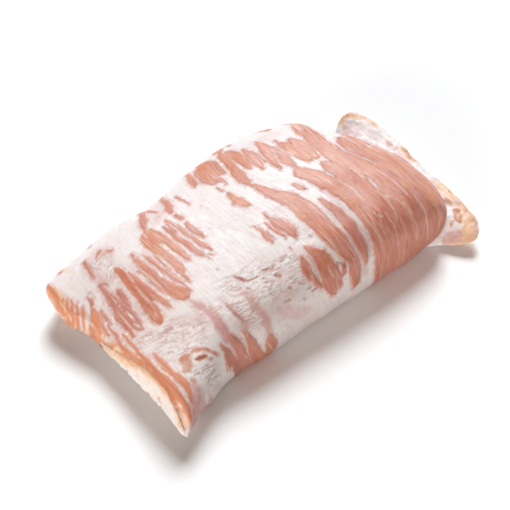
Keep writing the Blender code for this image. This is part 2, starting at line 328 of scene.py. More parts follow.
marbling["lean"] = [
    # the big muscle at the right
    [(29, 11, 6), (33, 5, 10), (36, -2, 11), (38, -12, 13), (41, -26, 12), (43, -42, 12)],
    [(45, 7, 6), (46, 0, 12), (46, -15, 17), (45, -35, 20), (45, -60, 21), (46, -92, 24)],
    [(57, 53, 6), (55, 44, 10), (54, 30, 11), (54, 15, 12), (56, 0, 15), (59, -25, 18), (60, -55, 20),
     (60, -92, 22)],
    [(67, 24, 5), (66, 12, 9), (68, 0, 12), (71, -15, 15), (74, -40, 18), (75, -65, 20), (73, -90, 20)],
    [(77, 34, 6), (76, 24, 9), (74, 10, 7), (76, 0, 8), (79, -12, 12), (82, -30, 14), (84, -50, 16),
     (85, -66, 15), (82, -82, 12)],
    [(82, 30, 5), (84, 14, 8), (88, -8, 11), (93, -28, 12), (97, -48, 14), (96, -68, 14), (92, -88, 12)],
    [(92, 40, 3), (95, 24, 8), (99, 4, 11), (104, -18, 12), (108, -40, 12), (107, -62, 12), (103, -84, 10)],
    [(104, 44, 3), (107, 28, 6), (111, 6, 9), (116, -16, 10), (119, -38, 10), (117, -58, 8)],
    [(118, 30, 3), (121, 14, 6), (124, -6, 8), (129, -26, 8), (130, -44, 5)],
    [(131, 18, 2), (134, 4, 5), (137, -14, 6), (140, -30, 4)],
    # the long band that bends round the middle
    [(4, 22, 1.5), (6, 17, 3.5), (8, 10, 6), (11.5, 3, 8.5), (14.5, -5, 10), (15.5, -15, 11),
     (16, -28, 11), (17.5, -42, 11), (20, -56, 7.5), (20.5, -70, 8), (21, -79, 5)],
    [(21.5, 5, 1.5), (23, 2.5, 3), (24.5, 0.5, 1.5)],
    [(26, -12, 2), (27.5, -20, 5), (28, -35, 7.5), (28, -50, 6.5), (28.5, -60, 5), (28, -67, 2.5)],
    # lobes across the upper right
    [(28, 48.5, 2), (28.3, 42, 5.5), (27.5, 34, 8), (25, 27, 6), (24, 19, 2)],
    [(30.5, 36, 5), (30.5, 26, 5.5), (30.5, 18, 3.5), (31.3, 13.5, 1.5)],
    [(36.3, 43, 1), (36.2, 38, 2.5), (38, 33, 7), (39.5, 26, 9), (40, 19, 7), (40.5, 15.5, 4)],
    [(43, 36.5, 4), (44, 30, 7), (44.5, 22, 6.5), (44, 15.5, 4)],
    [(18.7, 49, 1.5), (18.7, 43, 4), (18, 35, 4), (17, 29, 3), (16, 25.5, 1.2)],
    [(21.3, 43, 1), (21.3, 36, 1.8), (20.8, 30, 1)],
    [(11.5, 55, 3), (13, 49, 6), (12.8, 41, 6), (12.6, 34, 4.4), (12, 30.5, 2)],
    [(9, 60, 2), (7.8, 54, 4.5), (7, 47, 5), (6.3, 40, 4.5), (5, 34, 6), (4.3, 29, 6), (4.2, 25, 4),
     (3, 22.8, 1.5)],
    [(-3, 65, 4), (-2, 60, 8), (-2, 52, 10), (-1.5, 46, 8), (0, 41, 3.5)],
    [(-6.5, 60, 4), (-7.5, 52, 8), (-8.5, 45, 7), (-7.5, 41, 5), (-4.5, 38.5, 3)],
    [(-4, 38, 2), (-3.5, 35, 1.6), (-4, 32.5, 1)],
    [(-10, 72, 2), (-12, 64, 3), (-13.5, 57, 4), (-15, 50.5, 4), (-16, 47.5, 1.8)],
    [(13, 74, 5), (11, 66, 6), (9.5, 60, 3)],
    [(18, 66, 2), (17.3, 61, 1.2)],
    [(-9.2, 34, 1.8), (-8.8, 30, 1.6)],
    [(-8, 26, 1.6), (-8, 21, 3.6), (-7, 15, 4.6), (-5.8, 10.5, 2)],
    [(-10.3, 18, 1), (-10, 15.5, 1.2)],
    [(-2.2, 0, 0.9), (-3, -4.5, 1.6)],
    [(-2.4, -5.5, 2.5), (-1.6, -9, 5.2), (-0.3, -14, 7.2), (1, -19, 6.5), (1.2, -22.5, 3.4),
     (0.2, -26, 0.8)],
    [(-6.2, -6, 0.9), (-5.8, -11, 1.5), (-4.6, -17, 1.4), (-3.6, -22, 1)],
    [(-11.6, -5, 1.2), (-10.8, -10, 2), (-11, -16, 3), (-11.2, -20, 1.2)],
    [(-9, -11, 0.8), (-9.2, -19, 1)],
    # lobes on the front
    [(1.2, -34, 2.5), (2.6, -39, 5.5), (4, -46, 7.5), (4, -55, 8.5), (3.4, -64, 8), (4.8, -70, 7),
     (6, -75, 4)],
    [(7, -43, 3), (8, -54, 3.5), (9.4, -64, 5), (10, -71, 3.5), (9.6, -74, 2)],
    [(-4.8, -38, 2), (-5.5, -45, 4.6), (-5.8, -52, 4.6), (-3.8, -59, 4), (-1.5, -65, 2)],
    [(15.2, -57.5, 1.5), (14, -62, 3), (12.2, -66, 2.6)],
    [(-66.2, -61, 1.2), (-65.2, -67, 3), (-63, -75, 4), (-60.6, -83, 4.6), (-58, -93, 5)],
    [(-60.5, -59, 3), (-58.8, -67, 5.4), (-57, -75, 6.4), (-55, -84, 7.4), (-53, -93, 8)],
    [(-51.6, -62.5, 2.2), (-50.6, -70, 5), (-49.2, -78, 6), (-47, -86, 8), (-45, -93, 10)],
    [(-38.6, -75, 1.6), (-38.4, -80, 6), (-37.2, -85, 7.4), (-39, -93, 10)],
    # stripes of the left half, from right to left
    [(-36.6, 38, 1.6), (-36, 34, 3.2), (-35.6, 32, 1.6)],
    [(-36, 27, 1.8), (-36.6, 21, 3.6), (-36, 14, 2.8), (-35.4, 8.5, 1)],
    [(-36.5, 42, 3), (-35.2, 47, 5), (-34, 52, 3.4), (-32.6, 58, 2.4), (-31, 64, 2), (-29.5, 70, 1.4)],
    [(-42.6, 39, 2), (-41, 33, 2), (-40.6, 25, 2.2), (-40, 15, 2), (-39.4, 8, 2.6), (-38.6, 2, 2.6),
     (-37.8, -2, 1.4)],
    [(-40.2, -4, 1), (-39.4, -5.4, 1.2)],
    [(-46.2, 36, 0.8), (-45.4, 30, 2.8), (-45.6, 22, 3), (-45, 15, 3.4), (-44.4, 8, 3), (-44, 2, 2.8),
     (-43, -2.5, 1.6), (-41.6, -7, 0.6)],
    [(-43.6, 36, 1.6), (-43.4, 28, 1.2)],
    [(-52, 40, 3), (-51.6, 33, 4.8), (-51, 26, 4), (-51, 18, 4), (-50.6, 10, 3.4), (-50.3, 3, 2.4),
     (-50, -1.5, 1)],
    [(-57.6, 40, 4), (-57.2, 34, 7.4), (-57, 28, 7), (-57, 20, 5), (-57, 12, 4.4), (-56.4, 4, 5),
     (-56, -2, 3.6), (-56.6, -5, 1)],
    [(-54.4, 38, 4), (-54.2, 30, 3)],
    [(-58.8, 0, 1.2), (-58.2, -8, 2.4), (-58.6, -14, 1)],
    [(-54.6, 41, 2), (-53.2, 46, 3), (-51, 50, 5), (-49, 54, 3.6), (-47, 60, 2.6), (-44.6, 67, 1.6)],
    [(-64.8, 28, 0.8), (-64.6, 20, 2), (-64, 12, 2.4), (-63.2, 4, 3.2), (-62.6, -4, 3), (-61.6, -11, 1.8),
     (-61, -17, 0.8)],
    [(-61.4, 22, 0.8), (-61.2, 12, 1.2), (-60.8, 2, 0.8)],
    [(-68.8, 36, 1.8), (-69, 32, 3), (-69.3, 26, 4), (-69.2, 18, 4.2), (-69, 10, 4), (-68.8, 2, 4),
     (-68.3, -6, 4.6), (-67, -13, 7), (-65.6, -19, 8), (-65.4, -22, 3)],
    [(-61.6, -17, 2), (-61, -20, 1)],
    [(-72.6, 22, 0.7), (-72, 12, 1.2), (-72, 0, 1.2), (-71.6, -12, 0.8)],
    [(-76, 27, 1), (-76, 20, 2.4), (-77, 12, 4.2), (-77, 4, 4.8), (-77, -4, 4.8), (-77.6, -11, 3.6),
     (-78.6, -18, 2.4), (-79.2, -22, 1)],
    [(-75.2, -4, 2.4), (-75, -12, 2.6), (-74.4, -18, 2.6), (-73.8, -23, 0.8)],
    [(-79.6, 38.5, 1.4), (-79.1, 34, 3.6), (-79.5, 26, 4.3), (-80, 18, 3.3), (-80.4, 8, 2.8),
     (-80.8, 0, 3.2), (-81.5, -10, 3.6), (-82, -18, 4.6), (-81.8, -24, 4.8), (-82.6, -29.5, 2)],
    [(-85.5, 28, 1), (-86, 22, 2.5), (-86, 14, 3), (-86.4, 7, 2), (-87.2, 0, 1)],
    [(-88.6, 31, 1), (-88.5, 20, 1.5), (-88.4, 8, 2), (-88.1, -2, 2.2), (-88, -12, 2.2), (-88.4, -20, 1.8),
     (-89.4, -27, 0.8)],
    [(-89.8, 17, 2), (-90.2, 8, 2.8), (-90.6, -2, 2.6), (-91, -12, 2.4), (-91, -20, 1.4),
     (-90.6, -26, 0.8)],
    [(-89.7, 46, 0.8), (-89.4, 42, 2), (-90, 36, 2.6), (-90.6, 30, 3.2), (-90.6, 24, 3), (-91.4, 17, 2),
     (-92.4, 9, 2.6), (-93, 0, 3.4), (-93.6, -10, 3), (-94, -18, 2), (-94.4, -28, 1)],
    [(-96.4, 30, 0.6), (-97, 22, 1.2), (-97.2, 12, 0.8), (-97, 4, 0.6)],
    [(-97, -17, 0.8), (-96.8, -25, 1.5), (-97.8, -34, 1.6), (-98.8, -44, 1.8), (-99.6, -50, 2.6),
     (-99.8, -58, 3), (-100, -68, 3.2), (-100.2, -77, 3.2), (-100.6, -86, 3), (-100.8, -95, 2.4)],
    [(-98.4, 12, 1), (-99, 0, 1.4), (-99.5, -12, 1.7), (-100.2, -22, 1.5), (-101, -30, 1.8),
     (-101.4, -45, 2.6), (-101.4, -60, 2)],
    [(-101, 14, 1.4), (-101.6, 4, 1.4), (-101.7, -6, 0.9)],
    [(-96.8, 50, 1.2), (-97, 45, 3), (-98.6, 40, 3), (-100.2, 34, 4.6), (-100.6, 27, 5), (-101.6, 18, 4.6),
     (-102.8, 10, 3)],
    # the amber corner and its fingers
    [(-107.2, 79, 2.4), (-107.5, 75, 3.4), (-107.9, 69.6, 4), (-108.3, 66, 3.4), (-108.8, 64, 2)],
    [(-105.6, 62.8, 1), (-108, 62.2, 2), (-110.1, 64.2, 2)],
    [(-104.2, 60.8, 0.9), (-107, 57.9, 2.2), (-108.8, 59.6, 2.2)],
    [(-102.9, 58.2, 0.8), (-106.1, 54, 2.3), (-108.3, 55.8, 2.4)],
    [(-102.2, 54.2, 0.9), (-105.2, 48.9, 2.4), (-107.2, 50.2, 2.4)],
    [(-101.6, 49.4, 0.9), (-104.6, 43.2, 2.6), (-106.4, 42, 2.6)],
    [(-104.6, 34, 1.6), (-105.2, 20, 2.4), (-105, 0, 2.4), (-104.4, -12, 2), (-103.4, -22, 1.6)],
    [(-94.4, -45, 0.8), (-94.8, -51, 2.4), (-95.1, -60, 3.2), (-94.4, -68, 3.6), (-94.9, -75, 3),
     (-96, -82.5, 1.4)],
    # beyond the crest
    [(-86.8, 65, 1.4), (-87.2, 61, 2.6), (-88.2, 56, 1.8), (-89, 51, 1)],
    [(-80.8, 57, 1.6), (-79.2, 57.6, 2.4), (-77.8, 58.3, 1.4)],
    [(-75.8, 54, 0.7), (-74.7, 50.7, 0.9), (-73.4, 49, 0.7)],
    [(-47, 66, 2), (-44, 58, 2.4), (-42, 50, 1.6)],
    [(-28, 50, 0.8), (-27, 44, 1), (-26.5, 38, 0.7)],
    # the back, which the photo hides
    [(-97, 78, 2), (-95, 86, 6), (-93, 97, 7), (-95, 108, 3)],
    [(-85, 82, 1.4), (-83.5, 90, 3), (-84.5, 97, 1.6)],
    [(-77, 74, 2), (-74, 82, 4), (-71, 91, 8), (-70, 101, 5), (-73, 109, 2)],
    [(-66.5, 79, 1), (-65, 86, 2.2), (-63.5, 94, 1)],
    [(-47, 72, 2), (-51, 79, 5), (-55, 88, 9), (-52, 99, 8), (-50, 111, 3)],
    [(-44, 84, 1.6), (-42.5, 92, 3), (-43.5, 99, 1.6)],
    [(-34, 77, 1.4), (-32, 86, 2.6), (-33, 96, 5), (-36, 106, 3)],
    [(-22, 78, 1), (-21, 84, 1.8), (-22.5, 89, 1)],
    [(-12, 74, 3), (-13, 82, 7), (-16, 92, 11), (-14, 103, 8), (-11, 112, 3)],
    [(-2, 80, 1.6), (-3.5, 90, 3.4), (-1.5, 100, 3)],
    [(6, 84, 1), (7, 92, 2), (6.5, 98, 1)],
    [(13, 76, 5), (17, 85, 6), (20, 96, 10), (17, 108, 6)],
    [(27, 66, 2), (30, 74, 3), (32, 82, 2)],
    [(41, 58, 3), (39, 68, 6), (40, 80, 9), (38, 92, 7), (41, 106, 4)],
    [(49, 72, 1), (49.5, 82, 2.6), (48, 92, 1.6)],
    [(55, 60, 6), (58, 70, 9), (60, 84, 12), (57, 97, 9), (59, 108, 4)],
    [(69, 56, 3), (72, 66, 6), (73, 77, 5), (71, 84, 2)],
    [(72, 94, 2), (75, 100, 5), (74, 108, 3)],
    [(84, 54, 3), (86, 66, 7), (87, 78, 10), (85, 93, 8), (86, 106, 3)],
]

marbling["seam"] = [
    # pale gaps that cut through the lean
    [(33, 15, 2.4), (36, 11, 1.8), (38.6, 7, 1.5), (40.6, 2, 1.4), (42, -4, 1.2)],
    [(45, -41, 1.6), (46.4, -43, 1)],
    [(57.4, -14, 0.8), (57, -21, 1.6), (56.4, -26, 0.6)],
    [(70, 42, 1.4), (67.5, 36, 1.8), (64.5, 28, 1.6), (62.4, 20, 1.4), (61, 12, 1.4), (62.2, 7, 1.2),
     (64.5, 1, 1.2), (67.5, -6, 1.1), (69, -12, 0.6)],
    [(29, 29, 0.5), (28.4, 33, 0.7), (26.6, 22, 1.4), (26.4, 17, 1.6)],
    [(31, -8, 4), (32.6, -18, 3), (34.2, -28, 2), (34.6, -38, 1.9), (34.2, -48, 2), (33.6, -58, 2.4),
     (32, -66, 3.4), (30.6, -74, 6)],
    [(23.6, -12, 3.4), (23.4, -22, 2), (23.4, -30, 0.9), (24.2, -38, 0.8), (25, -48, 0.7), (25.4, -56, 1),
     (26.2, -64, 1.4), (26.8, -72, 2.4)],
    [(-77.2, -12, 0.5), (-76.8, -17, 1), (-76.4, -22, 1.6)],
    [(-54.4, 26, 0.9), (-54.2, 17, 1.3), (-54, 10, 1.6), (-53.4, 4, 2)],
    [(-97.8, 40, 1.6), (-97, 37.5, 1)],
    [(9.3, 44, 0.9), (8.8, 36, 1.2), (8.6, 30, 1.6)],
]
marbling["thread"] = [
    # thin pale threads in the lean
    [(42.6, -8, 0.6), (44.6, -16, 1.3), (44.8, -27, 0.8)],
    [(44.6, -45, 0.6), (44, -50, 1), (43.8, -56, 0.6)],
    [(54, -3, 0.6), (55, -11, 1.4), (55.6, -14, 0.8)],
    [(56.8, -33, 1.4), (58.2, -34.4, 1.4)],
    [(55.4, -28, 0.6), (55.8, -42, 0.8), (55, -52, 0.6)],
    [(60.6, 38, 0.8), (59.8, 30, 1.1), (58.8, 22, 1.1), (58, 16, 0.7)],
    [(74, 32, 0.7), (72.6, 24, 0.9), (71.4, 15, 0.8), (70.4, 8, 0.5)],
    [(78.4, 16, 0.6), (76.8, 10, 0.8), (75.6, 4, 0.5)],
    [(66, -14, 0.6), (67.6, -24, 0.9), (68.4, -32, 0.9), (68.8, -40, 0.7)],
    [(72.6, -42, 0.6), (72.8, -52, 1.1), (72.4, -66, 0.9), (73, -80, 0.7)],
    [(80, -22, 0.7), (80.6, -30, 1.2), (81, -38, 0.6)],
    [(81, -56, 0.5), (81.6, -62, 0.8), (81.2, -68, 0.5)],
    [(50, -42, 0.5), (51, -56, 0.7), (50.4, -70, 0.5)],
    [(63.4, -50, 0.5), (64.4, -62, 0.6), (64, -74, 0.5)],
    [(38.6, -34, 0.5), (39.4, -46, 0.7), (40.4, -58, 0.8), (40, -66, 0.5)],
    [(-79, 12, 0.6), (-79.1, 2, 0.8), (-79.3, -8, 0.5)],
    [(-74.6, 22, 0.6), (-74.3, 10, 0.6)],
    [(-70.9, 30, 0.5), (-71, 10, 0.5), (-70.4, -4, 0.5)],
    [(-91.9, 5, 0.5), (-92.1, -6, 0.7), (-92.4, -16, 0.8)],
    [(-89.4, 2, 0.5), (-89.5, -10, 0.5)],
    [(-68.4, 33, 1.1), (-68.6, 31, 0.8)],
    [(-59.2, 22, 0.8), (-59.3, 12, 0.9), (-59.2, 4, 0.9)],
    [(-61.8, -64, 0.9), (-60.8, -71, 0.7), (-59, -79, 0.5)],
    [(-53.6, -72, 0.7), (-52.2, -80, 0.7), (-50.6, -88, 0.5)],
    [(-51.2, -57, 0.6), (-50, -66, 0.5)],
    [(-5.4, 50, 0.5), (-5.6, 42, 0.7)],
    [(6, -52, 0.6), (5.8, -58, 0.9), (6.4, -63, 0.6)],
    [(12.2, -28, 0.6), (13.4, -38, 0.8), (15, -48, 0.6)],
]
marbling["thread"] = [(0.8, mark) for mark in marbling["thread"]]    # all equally strong

# Tones are (strength, mark). On the lean, wine is purple, rust orange and deep a stronger red, which on the
# front face is partly painted shade.
marbling["wine"] = [
    (0.8, [(-90, 44, 3), (-91, 30, 5), (-91, 18, 6), (-91, 0, 8), (-91, -14, 7), (-90.5, -26, 4)]),
    (0.9, [(-86, 28, 3), (-86.3, 14, 4), (-87.6, 0, 4), (-88, -18, 4)]),
    (0.5, [(-97, 25, 4), (-98.5, 0, 4), (-99.5, -20, 3)]),
    (0.5, [(-63, -60, 8), (-57, -75, 14), (-53, -92, 18)]),
    (0.5, [(-50, -64, 5), (-46, -85, 14), (-36, -88, 12)]),
    (0.5, [(27, -14, 6), (28, -40, 8), (28, -66, 6)]),
    (0.5, [(0.6, 52, 4), (1, 43, 4)]),
    (0.6, [(-45, 60, 4), (-50, 50, 4)]),
    (0.6, [(-34, 56, 4), (-36, 46, 4), (-41, 34, 4)]),
    (0.5, [(-6, -40, 5), (-5, -60, 5)]),
    (0.5, [(-88, 64, 5), (-78, 58, 6)]),
    (0.9, [(-100, -98, 12), (-92, -92, 16), (-84, -96, 10)]),
    (0.4, [(44, -80, 14), (60, -84, 14), (74, -84, 10)]),
]
marbling["rust"] = [
    (0.8, [(-106.6, 76, 1.6), (-107, 70, 2.4), (-107.4, 65, 1.6)]),
    (0.6, [(-106.4, 62.4, 1), (-109, 63, 1)]),
    (0.6, [(-105.6, 59.2, 1), (-108.4, 58.6, 1)]),
    (0.6, [(-104.6, 56, 1), (-107.6, 54.6, 1)]),
    (0.6, [(-103.8, 51.4, 1), (-106.6, 49.6, 1)]),
    (0.8, [(-94.4, -48, 2.6), (-95, -65, 3.4), (-95.4, -80, 2.8)]),
    (1.0, [(-98.6, -44, 2.4), (-100.2, -57, 3.4), (-100.6, -68, 3.8), (-101, -84, 4), (-100, -92, 3)]),
    (0.8, [(-102, -4, 1.4), (-101.6, -20, 2), (-100.8, -34, 2)]),
    (0.7, [(-57, 38, 8), (-57, 30, 8)]),
    (0.5, [(-51.5, 36, 5), (-51.5, 28, 5)]),
    (0.7, [(-66, -10, 8), (-66, -20, 9)]),
    (0.6, [(-81.8, -14, 4), (-82, -27, 5)]),
    (0.6, [(-80, 34, 4), (-80, 20, 4), (-80.8, 0, 4)]),
    (0.4, [(-77, 8, 4), (-77, -4, 4)]),
    (0.6, [(6.5, 50, 5), (4.5, 30, 7)]),
    (0.8, [(13, 48, 6), (12.8, 36, 5)]),
    (0.6, [(-3, 60, 6), (-4, 48, 6)]),
    (0.5, [(40, 32, 6), (42, 22, 8)]),
    (0.7, [(32, 8, 6), (36, -4, 8), (37, -18, 5), (38, -40, 4)]),
    (0.4, [(12, 0, 4), (14, -16, 5), (14, -34, 5)]),
    (0.7, [(-47, -91, 4), (-40, -91, 5)]),
]
marbling["orange"] = [
    (1.0, [(-107, 80, 6), (-107.6, 66, 8), (-107, 56, 9), (-105, 44, 9)]),
    (1.0, [(-100, 34, 5), (-101.6, 24, 6), (-104, 15, 6), (-104.5, 0, 6), (-103.4, -20, 6),
           (-103, -40, 7)]),
    (1.0, [(-102.6, -42, 7), (-102.4, -70, 7), (-102.6, -95, 7)]),
    (0.6, [(-99.5, -20, 4), (-100, -40, 4)]),
    (0.7, [(-94.8, -48, 4), (-95.2, -62, 4.5), (-95.4, -78, 4)]),
]
# deep darkens and reddens the lean, mostly down the front face: partly the lean's own red, partly painted
# shade
marbling["deepRedAndShade"] = [
    (0.7, [(46, -46, 14), (46, -58, 20), (46, -70, 18)]),
    (0.7, [(62, -48, 14), (64, -60, 20), (66, -76, 18)]),
    (0.8, [(80, -52, 12), (80, -68, 14), (78, -82, 12)]),
    (0.6, [(17, -36, 10), (18, -50, 9), (21, -72, 8)]),
    (0.6, [(28, -34, 7), (28.5, -64, 6)]),
    (0.8, [(4, -46, 8), (5, -60, 10), (6, -74, 6)]),
    (0.7, [(-5.5, -46, 5), (-5, -58, 5)]),
    (0.5, [(0, -12, 6), (1.4, -22, 5)]),
    (0.6, [(-57, -68, 10), (-52, -90, 16)]),
]
# On the fat, veil is lean that shows through it, amber a dried edge, tan the darkest of that,
# clean a torn white rim and, on the cut face, painted light that brightens it, and mauve a purple tinge.
marbling["veil"] = [
    (0.95, [(-66, -23, 2.5), (-63.5, -30, 4), (-61.2, -38, 5), (-61.2, -50, 5.5), (-61.8, -60, 5)]),
    (0.85, [(-52.4, -34, 1.6), (-51, -42, 2.6), (-50, -52, 3.6), (-49.6, -66, 3.8)]),
    (0.9, [(-41, -36, 3), (-40.2, -46, 5.4), (-39.8, -58, 5.8), (-38.4, -66, 5.2), (-38.4, -78, 4.4)]),
    (0.5, [(-54.8, -50, 1.6), (-53.6, -60, 2.4), (-52.6, -66, 2.4)]),
    (0.35, [(-99, 30, 8), (-84, 22, 18), (-66, 20, 24), (-48, 18, 20), (-40, 20, 14)]),
    (0.35, [(-98, -8, 10), (-80, -8, 20), (-62, -4, 14)]),
    (0.4, [(-94, -34, 8), (-84, -38, 14), (-74, -40, 16), (-67, -44, 8)]),
    (0.3, [(-90, -54, 8), (-80, -50, 12)]),
    (0.6, [(-92, -44, 2), (-84, -43, 3), (-76, -47, 2)]),
    (0.55, [(-90, -30, 2), (-82, -34, 3.4), (-76, -35, 2)]),
    (0.25, [(-30, -34, 8), (-10, -44, 12), (-26, -58, 12), (-46, -56, 14)]),
    (0.5, [(-30, -62, 5), (-22, -70, 9), (-14, -76, 8)]),
    (0.9, [(-100, -98, 9), (-92, -92, 8), (-84, -98, 8)]),
    (0.45, [(-90, -70, 3), (-90, -78, 6), (-86, -86, 10)]),
    (0.4, [(-87, 62, 8), (-80, 58, 10), (-75, 50, 6)]),
    (0.9, [(-1.4, -40, 2.5), (-1.6, -58, 3)]),
    (0.4, [(90, 10, 6), (93, -8, 8), (94, -30, 8), (93, -48, 8)]),
    (0.35, [(-46, 44, 10), (-40, 55, 10), (-34, 68, 8)]),
    (0.3, [(-16, 52, 8), (0, 40, 6), (24, 46, 12), (40, 48, 8)]),
    (0.6, [(24, -14, 4), (24, -50, 3), (27, -74, 6)]),
    (0.5, [(31, -8, 4), (34, -36, 4), (33, -60, 5)]),
    (0.5, [(-90, 60, 3), (-86, 46, 5), (-84, 36, 4)]),
]
marbling["amber"] = [
    (1.0, [(-106.4, 78, 3), (-107.4, 72, 5), (-107.6, 66, 6), (-108.6, 60, 5)]),
    (0.3, [(-106, 62, 3), (-108.4, 61, 4)]),
    (0.2, [(-105.6, 57, 5), (-106.6, 50, 5), (-106, 42, 5)]),
    (0.7, [(-106.4, 40, 4), (-105.4, 30, 3), (-105, 20, 3)]),
    (0.6, [(-93.9, 79, 2), (-94.1, 73.4, 2.6), (-93, 68, 1.6)]),
    (0.6, [(-47, -93, 4), (-40, -92, 4)]),
    (0.5, [(12, -30, 2.5), (14, -44, 3), (16, -55, 2)]),
    (0.35, [(-104, 20, 4), (-105, 0, 4), (-104, -12, 4)]),
    (1.0, [(-103.6, -14, 3), (-103, -25, 4.4), (-102.6, -34, 5), (-102.8, -46, 5)]),
    (0.6, [(-103.4, -46, 3.4), (-103.4, -60, 4), (-103.6, -76, 4), (-103.8, -95, 4)]),
    (0.35, [(-97, -56, 1.6), (-97, -72, 1.6), (-97.3, -86, 1.6)]),
]
marbling["tan"] = [
    (1.0, [(-83.6, -54.4, 2), (-85.4, -57, 4.4), (-87.2, -60.4, 5), (-89.2, -63, 3), (-90.7, -64.6, 1.6)]),
    (0.7, [(-84.2, -55, 1.8), (-80.6, -55.4, 2.2), (-77.6, -57, 2.4)]),
    (1.0, [(-80.4, -55, 1.4), (-76.7, -56.6, 2.4), (-73.5, -60.8, 2.4), (-70.9, -65.3, 2.4),
           (-68.9, -68.4, 1.2)]),
    (0.5, [(-77, -58.6, 2), (-74.4, -62.4, 2.4)]),
    (1.0, [(-82.4, -61.2, 2), (-79.7, -62.1, 3.2), (-76.8, -63.3, 2.2)]),
    (0.5, [(-80.6, -45.6, 1), (-80.2, -47.4, 1)]),
    (0.35, [(-90, -70, 2), (-88, -76, 3)]),
    (0.4, [(-25, -60, 2.4), (-22, -61, 3.4)]),
    (0.4, [(-15, -64.4, 2.4), (-13, -66.6, 3)]),
    (0.4, [(-92, -90.7, 2), (-95, -92.6, 2.4)]),
]
marbling["cleanAndLitWhite"] = [
    (0.8, [(-84.6, -61.6, 1), (-82.8, -63.8, 1.6), (-79, -65, 1.6), (-76.4, -66.4, 1)]),
    (0.7, [(-81.4, -59.2, 0.8), (-78, -59.4, 1.2)]),
    (0.9, [(-67.6, -67, 1.6), (-66, -72, 3), (-65, -78.5, 3.4), (-63, -86, 3), (-61.6, -91, 2)]),
    (0.7, [(-74.6, -85, 0.9), (-73.4, -94, 1)]),
    (0.6, [(-92.4, 4, 2), (-86, -32, 2), (-80, -26, 1.6)]),
]
marbling["mauve"] = [
    (0.8, [(-89.4, -72, 2.4), (-91, -79, 5), (-92, -86, 7)]),
    (1.2, [(-96, -84, 3), (-95, -89, 6), (-91, -93, 9), (-89, -98, 9)]),
    (1.0, [(-94, -83, 3), (-90, -87, 7), (-86, -92, 8)]),
    (0.8, [(-86, -87, 5), (-82, -92, 7), (-80, -97, 7)]),
    (0.7, [(-76, -86, 2.8), (-75, -93, 4)]),
    (0.5, [(-86, 64, 2), (-88, 54, 3), (-89, 44, 3)]),
    (0.5, [(-80, 57, 3), (-75, 51, 3), (-77, 45, 2)]),
    (0.6, [(-87.4, 42, 2), (-86.8, 36, 2)]),
    (0.5, [(-66, -30, 3), (-66, -44, 4)]),
    (0.75, [(-64.5, -30, 2), (-62, -40, 4), (-61.6, -50, 5), (-62, -62, 6)]),
    (0.6, [(-52, -40, 2), (-50.6, -50, 3), (-49.8, -60, 4)]),
    (0.6, [(-40.4, -44, 3), (-39.8, -56, 4), (-38.6, -68, 4.6)]),
    (0.4, [(-46, 44, 4), (-38, 47, 4)]),
]
